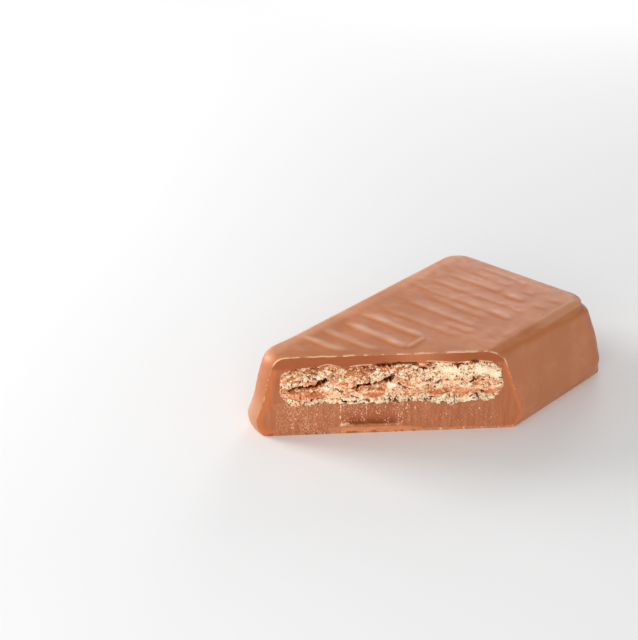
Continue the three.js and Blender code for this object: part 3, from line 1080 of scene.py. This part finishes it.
class Nodes:
    """A material's node tree, with one call for each node."""

    def __init__(self, name):
        self.material = bpy.data.materials.new(name)
        self.material.use_nodes = True
        self.tree = self.material.node_tree
        self.shader = self.tree.nodes["Principled BSDF"]

    def put(self, socket, value):
        if isinstance(value, bpy.types.NodeSocket):
            self.tree.links.new(value, socket)
        else:
            socket.default_value = value

    def node(self, kind, inputs, **settings):
        """A node with its settings and inputs, each input a link or a plain value."""
        made = self.tree.nodes.new(kind)
        for key, value in settings.items():
            setattr(made, key, value)
        for key, value in inputs.items():
            self.put(made.inputs[key], value)
        return made

    def place(self):
        return self.node("ShaderNodeTexCoord", {}).outputs["Object"]

    def mark(self, name):
        return self.node("ShaderNodeAttribute", {}, attribute_name=name).outputs["Fac"]

    def stretched(self, scale):
        inputs = {"Vector": self.place(), "Scale": scale}
        return self.node("ShaderNodeMapping", inputs).outputs["Vector"]

    def noise(self, size_mm, detail=3.0, roughness=0.5, vector=None, distortion=0.0):
        inputs = {"Vector": vector or self.place(), "Scale": 1 / (size_mm * MM)}
        inputs |= {"Detail": detail, "Roughness": roughness, "Distortion": distortion}
        return self.node("ShaderNodeTexNoise", inputs).outputs["Fac"]

    def range(self, value, low, high, to_low=0.0, to_high=1.0, curve="SMOOTHSTEP"):
        inputs = {"Value": value, "From Min": low, "From Max": high}
        inputs |= {"To Min": to_low, "To Max": to_high}
        made = self.node("ShaderNodeMapRange", inputs, interpolation_type=curve)
        return made.outputs["Result"]

    def math(self, operation, a, b):
        return self.node("ShaderNodeMath", {0: a, 1: b}, operation=operation).outputs[0]

    def mix(self, share, a, b):
        made = self.node("ShaderNodeMix", {0: share, 6: a, 7: b}, data_type="RGBA")
        return made.outputs[2]

    def tinted(self, base, tints):
        """The base colour, turned by every tint up to its amount while its value rises."""
        for value, low, high, amount, tone in tints:
            base = self.mix(self.range(value, low, high, 0.0, amount), base, colour(*tone))
        return base

    def bump(self, height, strength, distance_mm):
        inputs = {"Height": height, "Strength": strength, "Distance": distance_mm * MM}
        self.surface({"Normal": self.node("ShaderNodeBump", inputs).outputs["Normal"]})

    def surface(self, values):
        for name, value in values.items():
            self.put(self.shader.inputs[name], value)


def colour(red, green, blue):
    """A colour given as the eye sees it, 0 to 255, turned into light."""
    def linear(value):
        value /= 255
        return value / 12.92 if value <= 0.04045 else ((value + 0.055) / 1.055) ** 2.4

    return (linear(red), linear(green), linear(blue), 1.0)


def chocolate_material():
    m = Nodes("milk_chocolate")
    slow, mottle = m.noise(4.5), m.noise(1.3, 4.0, 0.6)
    shade, crest = m.mark("shade"), m.mark("crest")
    skin = m.mix(m.range(slow, 0.35, 0.65), colour(192, 119, 77), colour(205, 133, 92))
    tints = (
        (mottle, 0.35, 0.8, 1.0, (195, 121, 80)),
        # Painted highlights on the crests and the top's side edges
        (crest, 0.22, 0.85, 0.5, (236, 182, 148)),
        (crest, 0.72, 0.95, 0.4, (246, 206, 178)),
        # Painted shade in the crease
        (shade, 0.0, 1.0, 0.7, (188, 108, 52)),
        # Painted sheen on the near end and the right side
        (m.mark("pale"), 0.0, 1.0, 0.8, (190, 141, 112)),
    )
    # Painted shade, darker on the left wall and the near end
    skin = m.mix(m.mark("wall"), m.tinted(skin, tints), colour(160, 98, 68))

    streak = m.noise(0.45, 3.0, 0.6, m.stretched((1, 1, 0.1)), 0.3)
    inner = m.mix(m.range(streak, 0.3, 0.75), colour(172, 103, 68), colour(187, 118, 81))
    tints = (
        # Painted shade on the cut's roof, chip and middle under the stack
        (shade, 0.0, 1.0, 0.9, (164, 90, 54)),
        # Painted glow along the cut's sides and foot
        (m.mark("rim"), 0.0, 1.0, 0.6, (210, 120, 68)),
        # Painted glow over the stack and along the cut's foot
        (m.mark("glow"), 0.0, 1.0, 0.8, (226, 150, 104)),
    )
    inner = m.tinted(inner, tints)
    dust = m.noise(0.17, 3.0, 0.75, m.stretched((1, 1, 0.5)))
    dust = m.math("MULTIPLY", m.range(dust, 0.5, 0.62, 0.0, 0.85), m.mark("dust"))
    inner = m.mix(dust, inner, colour(238, 186, 156))
    # Painted shade, darker where the cut face sinks in
    inner = m.tinted(inner, [(m.mark("sunk"), 0.14, 0.32, 0.75, (134, 72, 36))])
    # Painted highlight on the knife's raised lips and the ledge
    inner = m.mix(m.mark("burr"), inner, colour(253, 208, 168))
    m.surface({
        "Base Color": m.mix(m.mark("cut"), skin, inner),
        "Roughness": m.range(mottle, 0.2, 0.8, 0.32, 0.44),
        "Specular IOR Level": 0.1,
        "Subsurface Weight": 0.2,
        "Subsurface Radius": (1.0, 0.45, 0.25),
        "Subsurface Scale": 0.6 * MM,
    })
    m.bump(m.noise(0.5, 4.0, 0.6), 0.2, 0.04)
    return m.material


# The brown, middle and pale tones of the crumbs, and the painted shade of hollows and of pores
WAFER_TONES = (colour(198, 120, 72), colour(252, 204, 162), colour(255, 243, 212))
CREAM_TONES = (colour(188, 104, 60), colour(233, 158, 111), colour(255, 218, 182))
HOLLOW_TONE, DARK_TONE = (168, 76, 18), (86, 24, 0)


def crumb_material(name):
    """Broken wafer and cream: crumbs of many tones, with painted shade in the pores between them.
    """
    m = Nodes(name)
    speck = m.noise(0.3, 4.0, 0.7)
    tone = m.math("ADD", m.mark("tone"), m.range(speck, 0.25, 0.75, -0.22, 0.22, "LINEAR"))
    low, high = m.range(tone, 0.05, 0.5), m.range(tone, 0.48, 0.82)
    kinds = []
    for brown, middle, pale in (WAFER_TONES, CREAM_TONES):
        kinds.append(m.mix(high, m.mix(low, brown, middle), pale))
    base = m.mix(m.mark("cream"), *kinds)
    # Pink and straw stains, weaker on the palest crumbs
    blush = m.noise(0.8, 2.0, 0.5, m.stretched((1.0, 1.0, 1.6)))
    stain = m.range(tone, 0.8, 1.15, 1.0, 0.4)
    pink = m.math("MULTIPLY", m.range(blush, 0.48, 0.66, 0.0, 0.5), stain)
    straw = m.math("MULTIPLY", m.range(blush, 0.46, 0.3, 0.0, 0.4), stain)
    base = m.mix(pink, base, colour(242, 170, 140))
    base = m.mix(straw, base, colour(236, 190, 122))
    # Painted shade in the clefts, pores and recesses
    dark = m.mark("dark")
    base = m.tinted(base, ((dark, 0.1, 0.5, 0.9, HOLLOW_TONE), (dark, 0.5, 0.85, 1.0, DARK_TONE)))
    m.surface({
        "Base Color": base,
        "Roughness": m.range(speck, 0.3, 0.7, 0.75, 0.95),
        "Specular IOR Level": 0.03,
        "Subsurface Weight": 0.1,
        "Subsurface Radius": (1.0, 0.6, 0.35),
        "Subsurface Scale": 0.2 * MM,
    })
    m.bump(m.noise(0.12, 4.0, 0.7), 0.6, 0.05)
    return m.material


# ---- stage

FLOOR_HALF = 3.0
LIGHT_AIM = (0, 0, 5)
# Area lights, each as name, place and size in mm, and power in W.
LIGHTS = (
    ("key", (-270, -100, 85), 130, 0.78),
    ("back", (-130, 250, 110), 110, 0.17),
    ("front", (130, -220, 60), 200, 0.44),
)
ROOM_LIGHT = 0.45


def add_floor():
    mesh = bpy.data.meshes.new("floor")
    signs = ((-1, -1), (1, -1), (1, 1), (-1, 1))
    corners = [(x * FLOOR_HALF, y * FLOOR_HALF, 0) for x, y in signs]
    mesh.from_pydata(corners, [], [(0, 1, 2, 3)])
    floor = new_object("floor", mesh)
    m = Nodes("pale_floor")
    shade = m.mix(m.noise(40.0, 2.0), (0.95, 0.95, 0.95, 1), (0.97, 0.97, 0.97, 1))
    m.surface({"Base Color": shade, "Roughness": 0.9})
    mesh.materials.append(m.material)


def add_lights():
    for name, place, size, power in LIGHTS:
        data = bpy.data.lights.new(name, "AREA")
        data.size = size * MM
        data.energy = power
        light = new_object(name, data)
        light.location = Vector(place) * MM
        aim = Vector(LIGHT_AIM) * MM - light.location
        light.rotation_euler = aim.to_track_quat("-Z", "Y").to_euler()
    world = bpy.data.worlds.new("room")
    world.use_nodes = True
    background = world.node_tree.nodes["Background"]
    background.inputs["Color"].default_value = (1, 1, 1, 1)
    background.inputs["Strength"].default_value = ROOM_LIGHT
    bpy.context.scene.world = world
    bpy.context.scene.view_settings.view_transform = "Standard"


# ---- all together

coating = make_coating()
coating.data.materials.append(chocolate_material())
for layer_index, layer_name in enumerate(LAYER_NAMES):
    layer = make_layer(layer_index)
    layer.data.materials.append(crumb_material(layer_name + "_food"))

crumbs = make_crumbs()
crumbs.data.materials.append(crumb_material("crumb_food"))

add_floor()
add_lights()
